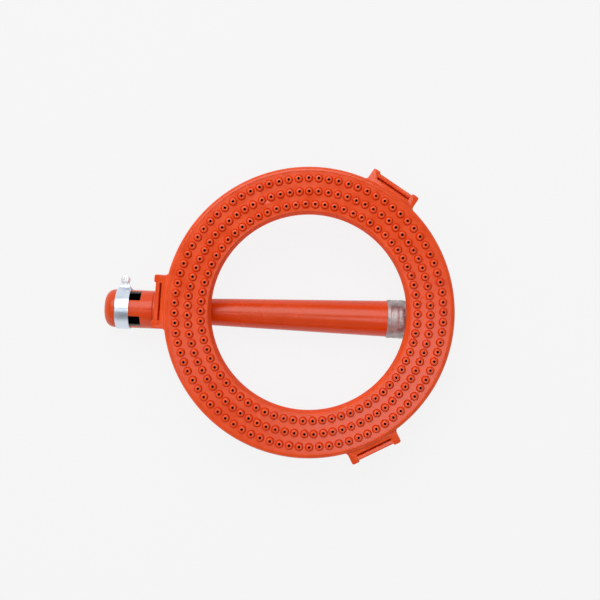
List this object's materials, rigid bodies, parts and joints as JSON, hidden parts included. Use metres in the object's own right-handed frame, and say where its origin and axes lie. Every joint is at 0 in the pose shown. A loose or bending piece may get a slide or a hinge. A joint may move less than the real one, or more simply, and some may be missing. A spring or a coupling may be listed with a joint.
{
  "type": "gas ring burner",
  "caption": "Round cast gas burner with rows of drilled port bosses, leg sockets on its rim, and a long mixing tube beneath with a slotted air barrel and sliding shutter band.",
  "frame": {"origin": "on the ring's axis, level with the port face", "axes": "+Z the way the flames rise; +X along the mixing tube from the gas inlet to the feed elbow; +Y to the side that the shutter's clamp ears stand out on"},
  "size_m": [0.3808, 0.3158, 0.0772],
  "materials": {
    "cast_paint": "glossy orange enamel over cast iron and steel",
    "bare_steel": "bare, hand-dressed weld metal",
    "zinc": "bright zinc plating",
    "brass": "turned",
    "copper": "soft copper",
    "cement": "stove cement, painted over"
  },
  "bodies": {
    "burner": {"burner_trough": "cast_paint", "port_ring": "cast_paint", "cover_screws": "bare_steel", "seam_cement_outer": "cement", "seam_cement_inner": "cement", "feed_elbow": "cast_paint", "tube_hanger": "cast_paint", "mixing_tube": "cast_paint", "weld_collar": "bare_steel", "throat_reducer": "cast_paint", "mixer_barrel": "cast_paint", "end_cap": "cast_paint", "injector": "brass", "injector_washer": "copper"},
    "shutter": {"shutter_band": "zinc", "clamp_washer": "zinc", "clamp_nut": "zinc"},
    "clamp_screw": {"clamp_screw": "zinc"}
  },
  "joints": [
    {"name": "shutter_slide", "type": "slide", "parent": "burner", "child": "shutter", "axis": [1, 0, 0], "range_m": [-0.0025, 0.0128]},
    {"name": "clamp_screw_turn", "type": "hinge", "parent": "shutter", "child": "clamp_screw", "pos_m": [-0.2052, 0.0284, -0.052], "axis": [0, 0, 1], "range_deg": [0, 720]}
  ]
}
